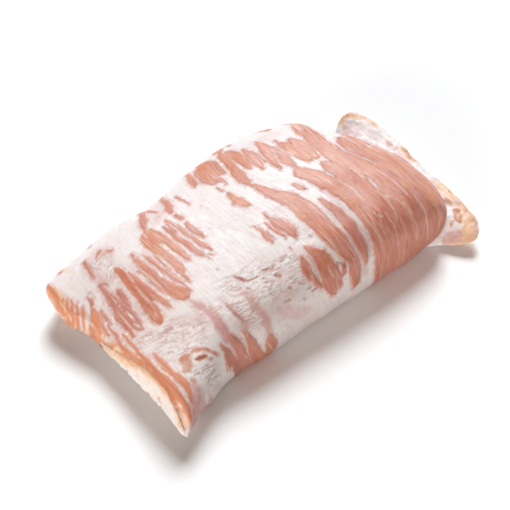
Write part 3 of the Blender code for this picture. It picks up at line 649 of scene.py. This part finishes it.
# On both, rough is where the surface is torn and stringy, and stain and crack are its red-brown
# specks and its cracks. The darkening of the cracks, and the stain marks in two holes, are painted shade.
marbling["rough"] = [
    (1.0, [(-46, -30, 8), (-30, -34, 14), (-10, -38, 12)]),
    (0.9, [(-34, -48, 14), (-14, -50, 12)]),
    (0.9, [(-94, -34, 8), (-84, -38, 14), (-72, -44, 12)]),
    (1.0, [(-88, -50, 8), (-76, -52, 8)]),
    (1.0, [(-84, -68, 10), (-74, -76, 12), (-70, -84, 8)]),
    (0.8, [(-60, -38, 10), (-48, -46, 14), (-44, -60, 10)]),
    (0.8, [(-86, 54, 8), (-80, 48, 10), (-84, 40, 6)]),
    (0.35, [(8, -26, 10), (-2, -30, 8)]),
]
# the marks in the two holes, near (-38, -30) and (-80, -62), are painted shade
marbling["stainAndHoleShade"] = [
    (0.35, [(-50.7, -23.1, 0.4), (-45, -24.3, 0.5), (-39, -25.4, 0.6), (-30, -24.8, 0.5),
            (-22.7, -23.7, 0.4)]),
    (1.0, [(-39.1, -26.2, 1.2), (-37.6, -29.5, 2.2), (-36.9, -32.9, 1.6)]),
    (0.8, [(-36.3, -32.9, 1.2), (-30.4, -34.2, 0.8)]),
    (0.8, [(-25.5, -33.1, 1.4), (-21.8, -34.4, 1.8), (-18.9, -33.8, 1.2)]),
    (1.0, [(-21.4, -38.7, 1.8), (-19.7, -41.1, 1.8)]),
    (0.7, [(-28.7, -40.4, 0.8), (-25.6, -40.4, 1.6), (-24, -42.2, 1.4)]),
    (0.7, [(-14.8, -32.6, 1), (-10.5, -31.4, 0.8)]),
    (0.8, [(-6, -28.7, 1.6), (-6, -31, 1.2)]),
    (0.7, [(-19.9, -51.4, 1.2), (-18.3, -53.1, 1.2)]),
    (0.7, [(-13, -54, 1.2), (-10.7, -56.2, 1)]),
    (0.7, [(-10.5, -59.9, 1), (-8, -60.4, 1)]),
    (0.9, [(-7.2, -63.7, 1.6), (-4.5, -63.6, 1.4)]),
    (0.6, [(-24.1, -60.4, 1), (-22.1, -61.2, 1.6)]),
    (0.6, [(-13.8, -64.9, 1.5), (-12.8, -66.8, 1)]),
    (0.5, [(-30.6, -70.1, 0.8), (-28, -70.8, 0.8)]),
    (0.7, [(-52.2, -38.2, 0.8), (-51.7, -47.8, 1.4), (-49.6, -54.9, 1)]),
    (0.8, [(-38.2, -36.9, 1.4), (-37.1, -38.4, 1.4)]),
    (0.5, [(-47.8, -34.3, 0.8), (-46.5, -37.3, 1), (-42.7, -39, 0.9), (-36.5, -40.6, 0.8)]),
    (0.9, [(11.4, -54.7, 1), (13, -57, 1.2), (14.8, -60, 1.2)]),
    (0.8, [(7.1, -28.2, 1.3), (7.3, -29.2, 1.2)]),
    (0.8, [(-43.3, -16.4, 1.1), (-43.2, -16.9, 1.1)]),
    (0.5, [(-23, 31.5, 1.2), (-22.6, 31.5, 1.2)]),
    (0.5, [(-30, 12.5, 1), (-29.6, 12.5, 1)]),
    (1.0, [(-82, -61.4, 1.4), (-79.6, -62.2, 2.2), (-77.4, -63, 1.4)]),
    (0.8, [(-75.9, -65.7, 1.6), (-74.2, -66.1, 1.4)]),
    (0.6, [(-78.6, -77.6, 1.4), (-80, -79, 1.2)]),
    (0.6, [(-88.4, 44, 1), (-87, 40, 1.2), (-86.8, 37, 0.8)]),
    (0.6, [(-86, 65, 1), (-86.4, 62, 1.4)]),
]
# cracks and holes are dented and also darkened with painted shade
marbling["shadedCrack"] = [
    (0.3, [(-45, -24.3, 0.4), (-39, -25.4, 0.5), (-30, -24.8, 0.4)]),
    (1.0, [(-39, -26.6, 1), (-37.6, -29.5, 1.6), (-37, -32.5, 1)]),
    (0.8, [(-36.3, -32.9, 0.8), (-30.4, -34.2, 0.6)]),
    (0.8, [(-28.7, -40.4, 0.8), (-24, -42.2, 0.8)]),
    (0.8, [(-19.9, -51.4, 0.8), (-18.3, -53.1, 0.8)]),
    (1.0, [(-82.2, -61.2, 1.4), (-79.6, -62.2, 2), (-77.2, -63.2, 1.4)]),
    (0.7, [(-52.2, -40, 0.8), (-51.4, -48, 0.9), (-49.6, -56, 0.8)]),
    (0.6, [(-60.5, -46, 0.8), (-59, -56, 0.9)]),
    (0.7, [(-86, 66, 1), (-86.6, 56, 1.2), (-84, 50, 1)]),
]
# mm that the edges of the tones fade over, each way
softEdge = {
    "wine": 2, "rust": 2, "orange": 2.5, "deepRedAndShade": 8, "thread": 0.6,
    "veil": 2, "amber": 1.8, "tan": 1.8, "mauve": 3, "cleanAndLitWhite": 3, "rough": 5, "stainAndHoleShade": 0.9, "shadedCrack": 0.5,
}

# marks on the fat layer: on the flap they are (x, y, width), on the cut (y, z, width)
flapMarks = {
    "amber": [
        (1.0, [(95, 53, 3), (100.5, 54.6, 4.5), (104, 52, 4.5), (107.6, 46, 4), (108.4, 40, 3.6),
               (107.6, 34.8, 2)]),
        (0.6, [(107.4, 30, 2), (108.4, 26, 2.6)]),
        (1.0, [(107.4, 17, 3), (108.2, 11, 6), (107.6, 4, 5), (107, 0, 2)]),
        (0.5, [(108.4, -4, 2), (108.4, -14, 1.6)]),
        (0.7, [(86, -52, 5), (92, -56, 7), (97, -57, 6)]),
        (0.5, [(102, -44, 4), (100, -52, 4)]),
        (0.85, [(106, -16, 3), (104.6, -24, 6), (104.6, -36, 8), (102.6, -45, 9), (97, -51, 8)]),
    ],
    "tan": [
        (0.45, [(96.6, 53.6, 2), (100.5, 55, 3), (104.6, 52, 3), (107.8, 45, 2.6), (108.4, 39, 2)]),
        (0.8, [(105.5, 24, 2.4), (105.4, 21, 3)]),
        (1.0, [(108, 14, 3), (107.6, 8, 4.6), (107, 3, 3)]),
        (0.6, [(107, -16.5, 1), (106.6, -23, 1.2), (105.6, -31, 1)]),
        (0.9, [(99.5, -30, 3), (100, -33, 3.4)]),
        (1.0, [(99.4, -38, 3.6), (98, -41, 5.4), (96, -44, 3.6)]),
        (0.35, [(105, -30, 3), (105, -40, 4), (101, -50, 5)]),
        (0.7, [(92.4, -43, 3), (91, -44, 2)]),
        (0.6, [(104, -38, 1.4), (103.6, -42, 1.4)]),
        (0.6, [(97.2, -60, 2.4), (95, -61, 2)]),
    ],
    "veil": [
        (0.8, [(86, -50, 10), (92, -54, 10), (97, -54, 8)]),
        (0.7, [(104, -38, 8), (100, -48, 10)]),
        (0.6, [(94, 46, 6), (96, 38, 5)]),
        (0.6, [(105, 14, 7), (106, 4, 7)]),
        (0.5, [(102, -16, 10), (102, -30, 12)]),
        (0.4, [(98, 50, 6), (102, 34, 6), (104, 22, 6)]),
    ],
    "mauve": [
        (0.5, [(87, -50, 5), (92, -55, 4)]),
        (0.4, [(95, 50, 3), (93, 44, 3)]),
    ],
}
cutMarks = {
    # painted light: this clean mark brightens the whole cut face, which lies in shade
    "cleanAndLitWhite": [
        (0.45, [(14, 6, 14), (-10, 8, 18), (-30, 9, 22), (-50, 8, 18), (-62, 8, 10)]),
    ],
    "amber": [
        (1.0, [(4, 13, 4), (-2, 14, 5), (-11, 16.5, 6), (-18, 19, 5), (-24, 21, 4)]),
        (1.0, [(-20, 20.6, 3.4), (-32, 22.4, 4), (-45, 22, 4), (-55, 18.4, 4)]),
        (0.3, [(-20, 18, 3), (-32, 19.6, 4), (-45, 19, 4), (-55, 15.6, 4)]),
        (0.8, [(-55, 17, 3), (-60, 13, 4), (-63, 10.5, 3)]),
        (0.3, [(-6, 11, 4), (-24, 16, 4), (-40, 17, 4)]),
    ],
    "tan": [
        (0.5, [(-34, 10.5, 1), (-38, 12, 1.4)]),
        (0.5, [(-40, 15, 1.4), (-44, 13, 1)]),
        (0.5, [(-24, 22.4, 1.2), (-36, 24, 1.4), (-48, 23, 1.4), (-56, 19.6, 1.4)]),
    ],
}

lean = {
    "voxel": 0.67 * mm, "passes": 6,
    # where it is thinned: the hollow under it and the back, each with the share of faces kept
    "hollowZ": 10, "hollowIn": -1, "hollowTurn": 0.3, "hollowKept": 0.06,
    "backY": 40, "backTurn": 0.75, "backKept": 0.3,
    # the folded edges, in mm: their heights, how far they run each way, and where they end as packed and here
    "foldZ": (2, 7), "foldHalf": 70, "packedLip": 1.2, "lip": 0.3,
    "wander": 0.35, "wanderSizes": (5, 7),     # mm that the marks' edges wander
    "grow": 0.2,                               # mm that the lean's marks are widened by
    # relief in mm
    "bulge": 0.14, "edge": (-0.8, 1.2), "lumps": 0.25, "lumpSize": 14,
    "torn": 0.18, "tornSize": 2.4, "shadedCrack": 0.25, "ridge": 0.35,
    # the left cut in mm, its corner and its tip, and its lower rim by the normals
    "cutX": (-90, -97), "cornerX": (-99, -103), "cornerY": (30, 38), "tipY": (-34, -48),
    "rimDown": (0.1, -0.35), "rimLeft": (-0.1, -0.5), "fill": 1.1, "tipFill": 1.1,
    "teeth": 2.0, "teethY": (24, 32), "teethReach": 3, "teethSteep": 0.05,
}

# the way that the fibres run: each guide is a line of (girth, along) points in mm, from the back to the front
fibreGuides = [
    [(74, -97), (50, -97), (30, -101), (15, -102.5), (0, -103), (-20, -102), (-40, -100.5), (-60, -100),
     (-95, -101)],
    [(74, -80), (40, -82), (20, -83), (0, -83.5), (-20, -84.5), (-30, -85), (-50, -84), (-70, -82),
     (-95, -76)],
    [(74, -55), (40, -66), (20, -66), (0, -65.5), (-10, -64), (-20, -62), (-60, -63), (-75, -59),
     (-95, -52)],
    [(74, -36), (60, -42), (50, -46.5), (40, -46.8), (0, -46.3), (-30, -44), (-60, -43), (-80, -38),
     (-95, -32)],
    [(74, -8), (55, -14), (40, -17), (20, -18), (0, -17), (-30, -16), (-60, -15), (-80, -10), (-95, -3)],
    [(74, 14), (60, 9.5), (50, 7.5), (40, 6), (30, 4.5), (20, 5), (10, 9), (0, 13), (-10, 15), (-40, 17),
     (-60, 20), (-95, 24)],
    [(74, 34), (50, 29), (30, 29), (20, 30.5), (10, 34), (0, 37), (-10, 38.5), (-30, 40), (-60, 41),
     (-95, 42)],
    [(74, 60), (50, 56), (30, 54), (0, 54.5), (-20, 56), (-60, 56), (-95, 56)],
    [(74, 86), (50, 74), (40, 69.5), (30, 65), (20, 62.5), (10, 61.5), (0, 65), (-10, 68.5), (-30, 70),
     (-60, 72), (-95, 73)],
    [(74, 100), (40, 86), (30, 81), (20, 77.5), (10, 76), (0, 77), (-15, 80), (-30, 82), (-60, 84),
     (-95, 80)],
    [(74, 120), (30, 98), (0, 92), (-30, 95), (-60, 97), (-95, 92)],
]


def fibrePlace(along, girth):
    # which fibre a point is on, named by where that fibre crosses girth 0
    lines, names = [], []
    for guide in fibreGuides:
        girths, alongs = zip(*guide[::-1])
        lines.append(np.interp(girth, girths, alongs))
        names.append(np.interp(0, girths, alongs))
    lines, names = np.array(lines), np.array(names)
    i = np.clip((lines < along).sum(0), 1, len(names) - 1)
    left = np.take_along_axis(lines, (i - 1)[None], 0)[0]
    right = np.take_along_axis(lines, i[None], 0)[0]
    return names[i - 1] + (along - left) / (right - left) * (names[i] - names[i - 1])


def thinLean(piece):
    # the hollow under the lean is never seen, and the back needs less than the top
    points, normals = readShape(piece)
    inward = points * (0, 1, 1) - (0, slab["ridgeY"], lean["hollowZ"])
    hollow = ((inward * normals).sum(1) < lean["hollowIn"]) & (normals[:, 2] < lean["hollowTurn"])
    thinOut(piece, hollow, lean["hollowKept"])
    points, normals = readShape(piece)
    thinOut(piece, (normals[:, 1] > lean["backTurn"]) & (points[:, 1] > lean["backY"]), lean["backKept"])


def markLean(piece, points, normals):
    # paints the lean and its tones on the vertices, and lays the map that follows the fibres
    along, girth = alongPlace(points, normals), girthPlace(points)
    alongSize, girthSize = lean["wanderSizes"]
    markAlong = along + lumps(points, alongSize, seed=3.1) * lean["wander"]
    markGirth = girth + lumps(points, girthSize, seed=8.7) * lean["wander"] * 2
    inLean = np.full(len(points), -brush["cap"])
    for mark in marbling["lean"]:
        depth = depthIn(markAlong, markGirth, mark, brush["reach"])
        inLean = np.maximum(inLean, np.minimum(depth, brush["cap"]))
    for mark in marbling["seam"]:
        inLean = np.minimum(inLean, -depthIn(markAlong, markGirth, mark, brush["reach"]))
    inLean += lean["grow"]
    writeValue(piece, "lean", inLean)
    tones = {name: brushed(markAlong, markGirth, marbling[name], soft) for name, soft in softEdge.items()}
    for name, values in tones.items():
        writeValue(piece, name, values)
    writeMap(piece, "fibres", fibrePlace(along, girth), girth)
    return inLean, tones


def buildLean():
    piece = fineCopy("lean", "marbled_lean", lean["voxel"], lean["passes"])
    thinLean(piece)
    points, normals = readShape(piece)
    x, y, z = points.T
    low = 1 - smoothStep(*lean["foldZ"], z)
    z -= low * (lean["packedLip"] - lean["lip"]) * (np.abs(x) < lean["foldHalf"])
    inLean, tones = markLean(piece, points, normals)
    rise = lean["bulge"] * (smoothStep(*lean["edge"], inLean) - 1)
    rise += lean["lumps"] * (lumps(points, lean["lumpSize"], seed=5.3) - 0.5)
    torn = tones["rough"] * lean["torn"] * lumps(points, lean["tornSize"], seed=6.1)
    rise += torn - tones["shadedCrack"] * lean["shadedCrack"]
    rise += tones["cleanAndLitWhite"] * lean["ridge"]
    corner = smoothStep(*lean["cornerX"], x) * smoothStep(*lean["cornerY"], y)
    fill = lean["fill"] + lean["tipFill"] * smoothStep(*lean["tipY"], y)
    lowRim = smoothStep(*lean["rimDown"], normals[:, 2]) * smoothStep(*lean["rimLeft"], normals[:, 0])
    rise += smoothStep(*lean["cutX"], x) * (1 - corner) * lowRim * fill
    points += normals * rise[:, None]
    teeth = smoothStep(*lean["cornerX"], x) * smoothStep(*lean["teethY"], y) * lean["teeth"]
    notchEnd(points, teeth, lean["teethReach"], lean["teethSteep"])
    writePoints(piece, points)
    print("lean marked,", len(piece.data.polygons), "faces")
    return piece


fat = {
    "voxel": 0.78 * mm, "passes": 4,
    "cutX": (-50, -70), "flapX": (50, 70),     # mm, where the cut and the flap begin
    "wander": 0.6, "wanderSize": 4, "flapSoft": 0.8, "cutSoft": 2.2,
    "lumps": 0.4, "lumpSize": 9, "edge": 0.16, "edgeSize": 2.6,
    "rimLeft": (-0.1, -0.4), "rimUp": (0.1, 0.5), "fill": 1.6,    # the cut's upper rim, by the normals
    "teeth": 2.2, "teethY": (-50, -34), "teethReach": 2, "teethSteep": 0.4,
}


def buildFat():
    piece = fineCopy("fat_layer", "fat", fat["voxel"], fat["passes"])
    points, normals = readShape(piece)
    x, y, z = points.T
    wander = lumps(points, fat["wanderSize"], seed=4.4) * fat["wander"]
    onCut, onFlap = smoothStep(*fat["cutX"], x), smoothStep(*fat["flapX"], x)
    writeValue(piece, "lean", np.full(len(points), -brush["cap"]))
    for name in softEdge:
        values = onFlap * brushed(x + wander, y + wander, flapMarks.get(name, []), fat["flapSoft"])
        values += onCut * brushed(y + wander, z + wander, cutMarks.get(name, []), fat["cutSoft"])
        writeValue(piece, name, values)
    writeMap(piece, "fibres", x, y)
    rise = fat["lumps"] * (lumps(points, fat["lumpSize"], seed=2.2) - 0.5)
    rise += fat["edge"] * lumps(points, fat["edgeSize"], seed=7.2) * (onCut + onFlap)
    cutRim = onCut * smoothStep(*fat["rimLeft"], normals[:, 0]) * smoothStep(*fat["rimUp"], normals[:, 2])
    rise += cutRim * fat["fill"]
    points += normals * rise[:, None]
    teeth = onCut * smoothStep(*fat["teethY"], y) * fat["teeth"]
    notchEnd(points, teeth, fat["teethReach"], fat["teethSteep"])
    writePoints(piece, points)
    print("fat marked,", len(piece.data.polygons), "faces")
    return piece


class NodeBench:
    # a short way to lay out a material's nodes
    def __init__(self, name):
        self.material = bpy.data.materials.new(name)
        self.material.use_nodes = True
        self.tree = self.material.node_tree
        self.shader = self.tree.nodes["Principled BSDF"]

    def put(self, kind, inputs=(), **settings):
        made = self.tree.nodes.new(kind)
        for name, value in settings.items():
            setattr(made, name, value)
        for key, value in dict(inputs).items():
            self.feed(made.inputs[key], value)
        return made

    def feed(self, socket, value):
        if isinstance(value, bpy.types.NodeSocket):
            self.tree.links.new(value, socket)
        else:
            socket.default_value = value

    def value(self, name):
        return self.put("ShaderNodeAttribute", attribute_name=name).outputs["Fac"]

    def math(self, operation, a, b=0.0, c=0.0):
        return self.put("ShaderNodeMath", {0: a, 1: b, 2: c}, operation=operation).outputs[0]

    def times(self, a, b):
        return self.math("MULTIPLY", a, b)

    def timesPlus(self, a, b, c):
        return self.math("MULTIPLY_ADD", a, b, c)

    def mix(self, factor, a, b):
        return self.put("ShaderNodeMix", {0: factor, 6: a, 7: b}, data_type="RGBA").outputs[2]

    def ramp(self, value, low, high, start=0.0, end=1.0):
        made = self.put("ShaderNodeMapRange", {0: value, 1: low, 2: high, 3: start, 4: end},
                        interpolation_type="SMOOTHSTEP")
        return made.outputs[0]

    def grain(self, place, scale, detail, rough, twist=0.0):
        made = self.put("ShaderNodeTexNoise", {
            "Vector": place, "Scale": scale, "Detail": detail, "Roughness": rough, "Distortion": twist})
        return made.outputs[0]

    def streaks(self, place, across, down, detail, rough, twist):
        # noise drawn out along the fibres
        drawn = self.put("ShaderNodeMapping", {"Vector": place, "Scale": (across, down, 1)}).outputs[0]
        return self.grain(drawn, 1.0, detail, rough, twist)


meat = {
    # the lean
    "pink": (0.70, 0.31, 0.222, 1), "pale": (0.75, 0.41, 0.32, 1), "dark": (0.47, 0.165, 0.105, 1),
    "wine": (0.54, 0.235, 0.21, 1), "rust": (0.60, 0.205, 0.09, 1), "deepRedAndShade": (0.58, 0.19, 0.12, 1),
    "orange": (0.79, 0.34, 0.17, 1), "ochre": (0.68, 0.31, 0.17, 1), "vein": (0.82, 0.60, 0.53, 1),
    # the fat
    "white": (0.815, 0.755, 0.74, 1), "cream": (0.80, 0.70, 0.61, 1), "bright": (0.90, 0.87, 0.86, 1),
    "blush": (0.64, 0.375, 0.34, 1), "lilac": (0.70, 0.60, 0.63, 1), "cleanAndLitWhite": (0.94, 0.92, 0.87, 1),
    # crumb is painted shade: the dark of small hollows in the rough zones
    "amber": (0.86, 0.56, 0.35, 1), "tan": (0.58, 0.245, 0.135, 1), "crumb": (0.62, 0.46, 0.43, 1),
    # both
    "mauve": (0.62, 0.33, 0.30, 1), "brown": (0.52, 0.30, 0.235, 1), "stainAndHoleShade": (0.42, 0.14, 0.085, 1),
}
surface = {
    "scatter": 0.3, "scatterSize": 0.7 * mm, "scatterRadius": (1.0, 0.45, 0.35),
    "specular": 0.45, "roughness": (0.38, 0.58), "bump": 0.7, "bumpDepth": 0.5 * mm,
    "edgeFine": 3.4, "edgeBroad": 2.0, "edgeMottle": 0.8, "edgeShift": -3.1,    # how the marks' edges fray
    "reliefFine": 0.7, "reliefMottle": 0.5, "reliefLean": 0.7, "reliefStrand": -1.6, "reliefCrumb": 1.2,
}
# lumps to a cm across and down the fibres, detail, roughness and twist
fibreNoise = {
    "fine": (7, 0.7, 4.0, 0.7, 0.3),
    "broad": (3.6, 0.4, 3.0, 0.55, 0.4),
    "band": (1.5, 0.28, 2.0, 0.5, 0.6),
    "thread": (5, 0.3, 1.5, 0.5, 0.5),
    "strand": (2.2, 7.5, 4.0, 0.65, 1.2),
}
# lumps to a metre, detail and roughness
grainNoise = {
    "mottle": (420, 3.0, 0.6),
    "cloud": (90, 3.0, 0.55),
    "patch": (160, 4.0, 0.65),
    "crumb": (640, 2.0, 0.6),
}


class MeatBench(NodeBench):
    # a bench with the meat's noises on it, and the depth inside the lean's marks
    def __init__(self, name):
        super().__init__(name)
        fibres = self.put("ShaderNodeUVMap", uv_map="fibres").outputs[0]
        place = self.put("ShaderNodeTexCoord").outputs["Object"]
        for kind, numbers in fibreNoise.items():
            setattr(self, kind, self.streaks(fibres, *numbers))
        for kind, numbers in grainNoise.items():
            setattr(self, kind, self.grain(place, *numbers))
        self.rough = self.value("rough")
        self.gritty = self.times(self.rough, self.ramp(self.cloud, 0.4, 0.58, 0.15, 1.0))
        # the marks' edges fray along the fibres
        fray = self.timesPlus(self.fine, surface["edgeFine"],
                              self.timesPlus(self.broad, surface["edgeBroad"], surface["edgeShift"]))
        fray = self.timesPlus(self.mottle, surface["edgeMottle"], fray)
        self.depth = self.math("ADD", self.value("lean"), fray)


def leanColour(bench):
    # streaky pink with tones and thin pale threads
    mix, ramp, times, value = bench.mix, bench.ramp, bench.times, bench.value
    red = mix(ramp(bench.fine, 0.36, 0.58), meat["dark"], meat["pink"])
    red = mix(ramp(bench.broad, 0.5, 0.7, 0.0, 0.5), red, meat["pale"])
    red = mix(ramp(bench.band, 0.5, 0.34, 0.0, 0.6), red, meat["deepRedAndShade"])
    red = mix(ramp(bench.band, 0.52, 0.7, 0.0, 0.5), red, meat["pale"])
    red = mix(ramp(bench.cloud, 0.52, 0.66, 0.0, 0.6), red, meat["ochre"])
    red = mix(ramp(bench.cloud, 0.46, 0.32, 0.0, 0.6), red, meat["mauve"])
    # the deep tone is partly painted shade on the front face
    for tone, most in (("wine", 0.85), ("deepRedAndShade", 0.55), ("orange", 0.95), ("rust", 0.95)):
        amount = times(value(tone), ramp(bench.fine, 0.3, 0.6, most, most * 0.6))
        red = mix(amount, red, meat[tone])
    rim = times(ramp(bench.depth, -0.2, 0.9), ramp(bench.depth, 3.0, 0.8))
    rim = times(rim, ramp(value("orange"), 0.0, 0.6, 1.0, 0.1))
    rim = times(rim, ramp(bench.patch, 0.4, 0.6, 0.0, 0.25))
    red = mix(rim, red, meat["dark"])
    middle = bench.math("ABSOLUTE", bench.math("SUBTRACT", bench.thread, 0.5))
    line = times(ramp(middle, 0.005, 0.03, 0.8, 0.0), ramp(bench.broad, 0.47, 0.6))
    line = times(line, ramp(bench.band, 0.42, 0.58))
    drawn = times(value("thread"), ramp(bench.mottle, 0.35, 0.55, 0.5, 1.0))
    return mix(bench.math("MAXIMUM", line, drawn), red, meat["vein"])


def fatColour(bench):
    # white with lean showing through, torn wisps and dried amber edges
    mix, ramp, times, value = bench.mix, bench.ramp, bench.times, bench.value
    white = mix(ramp(bench.cloud, 0.5, 0.7, 0.0, 0.3), meat["white"], meat["cream"])
    white = mix(ramp(bench.patch, 0.44, 0.3, 0.0, 0.4), white, meat["lilac"])
    white = mix(ramp(bench.patch, 0.54, 0.7, 0.0, 0.7), white, meat["bright"])
    veil = times(value("veil"), ramp(bench.broad, 0.3, 0.62, 0.6, 1.0))
    halo = times(ramp(bench.depth, -2.6, -0.4), ramp(bench.mottle, 0.35, 0.65, 0.1, 0.7))
    faint = times(ramp(bench.fine, 0.52, 0.7, 0.0, 0.16), ramp(bench.cloud, 0.4, 0.6))
    shade = bench.math("MAXIMUM", bench.math("ADD", veil, faint), halo)
    white = mix(shade, white, meat["blush"])
    torn = times(bench.rough, ramp(bench.strand, 0.5, 0.57))
    torn = times(torn, ramp(bench.cloud, 0.38, 0.52, 0.25, 0.8))
    white = mix(torn, white, meat["brown"])
    # painted shade: dark specks for the small shadows of the crumbly rough zones
    crumbShade = times(bench.gritty, ramp(bench.crumb, 0.48, 0.36, 0.0, 0.4))
    white = mix(crumbShade, white, meat["crumb"])
    # bright strands and crumb tops: partly white wisps, partly painted highlight
    wispsAndHighlights = bench.math("MAXIMUM", ramp(bench.strand, 0.48, 0.42), ramp(bench.crumb, 0.55, 0.66, 0.0, 0.7))
    white = mix(times(wispsAndHighlights, times(bench.rough, 0.95)), white, meat["bright"])
    # clean: torn white rims, and painted light over the cut face
    white = mix(value("cleanAndLitWhite"), white, meat["cleanAndLitWhite"])
    for tone in ("mauve", "amber", "tan"):
        painted = value(tone)
        edge = bench.timesPlus(bench.patch, 2.2, bench.math("SUBTRACT", painted, 1.1))
        amount = times(ramp(edge, 0.0, 1.0), ramp(painted, 0.0, 0.2))
        amount = times(amount, ramp(bench.mottle, 0.36, 0.54, 0.65, 1.0))
        white = mix(amount, white, meat[tone])
    return white


def meatRelief(bench):
    relief = bench.math("ADD", bench.times(bench.fine, surface["reliefFine"]),
                        bench.times(bench.mottle, surface["reliefMottle"]))
    relief = bench.math("ADD", relief, bench.ramp(bench.depth, -0.9, 1.6, 0.0, surface["reliefLean"]))
    relief = bench.timesPlus(bench.times(bench.strand, bench.rough), surface["reliefStrand"], relief)
    return bench.timesPlus(bench.times(bench.crumb, bench.gritty), surface["reliefCrumb"], relief)


def meatMaterial(name):
    bench = MeatBench(name)
    colour = bench.mix(bench.ramp(bench.depth, -0.75, 0.8), fatColour(bench), leanColour(bench))
    # painted shade: the cracks and holes are darkened to brown
    colour = bench.mix(bench.times(bench.value("shadedCrack"), 0.7), colour, meat["brown"])
    # red-brown stains, and painted shade in two holes
    stainAndHoleSpots = bench.times(bench.value("stainAndHoleShade"), bench.ramp(bench.mottle, 0.3, 0.5, 0.4, 1.0))
    colour = bench.mix(stainAndHoleSpots, colour, meat["stainAndHoleShade"])
    bump = bench.put("ShaderNodeBump", {
        "Height": meatRelief(bench), "Strength": surface["bump"], "Distance": surface["bumpDepth"]})
    for socket, value in {
        "Base Color": colour, "Normal": bump.outputs[0],
        "Roughness": bench.ramp(bench.fine, 0.35, 0.65, *surface["roughness"]),
        "Subsurface Weight": surface["scatter"], "Subsurface Radius": surface["scatterRadius"],
        "Subsurface Scale": surface["scatterSize"], "Specular IOR Level": surface["specular"],
    }.items():
        bench.feed(bench.shader.inputs[socket], value)
    return bench.material


def finishPiece(piece, material, node):
    piece.data.materials.append(material)
    piece.data.shade_smooth()
    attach(piece, "root")
    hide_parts(node)


leanPiece = buildLean()
fatPiece = buildFat()
finishPiece(leanPiece, meatMaterial("marbled pork"), "lean")
finishPiece(fatPiece, meatMaterial("pork fat"), "fat_layer")
print("materials done")
